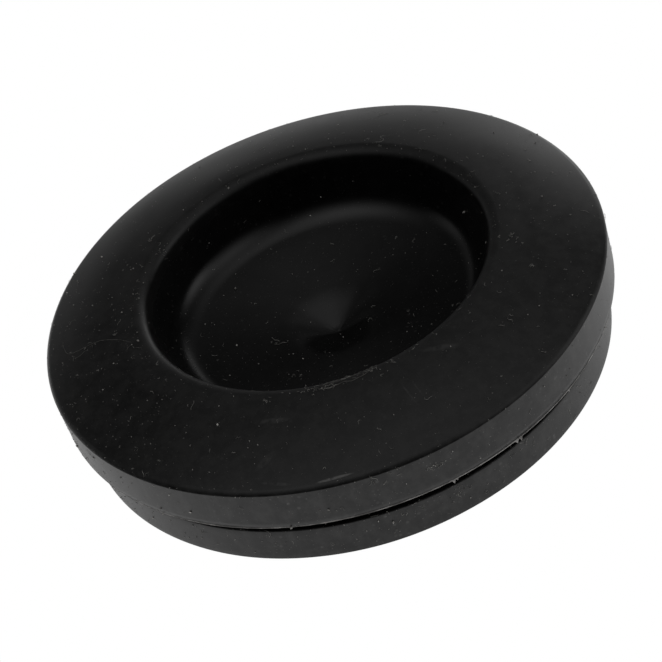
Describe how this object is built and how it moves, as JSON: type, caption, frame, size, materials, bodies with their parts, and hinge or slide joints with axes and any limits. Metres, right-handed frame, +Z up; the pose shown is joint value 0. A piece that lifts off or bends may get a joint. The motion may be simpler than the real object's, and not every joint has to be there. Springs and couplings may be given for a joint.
{
  "type": "closed panel grommet",
  "caption": "Round closed rubber panel grommet: a thick bulging top flange round a dished, dimpled floor, and a snap-in groove above a slightly smaller lower flange.",
  "frame": {"origin": "centre of the underside, where the lower flange's flat ring rests", "axes": "+Z up along the round axis, from the underside to the bulging top face"},
  "size_m": [0.06, 0.06, 0.0132],
  "materials": {
    "rubber": "satin black moulded rubber, lightly dusty"
  },
  "bodies": {
    "root": {"grommet": "rubber"}
  },
  "joints": []
}
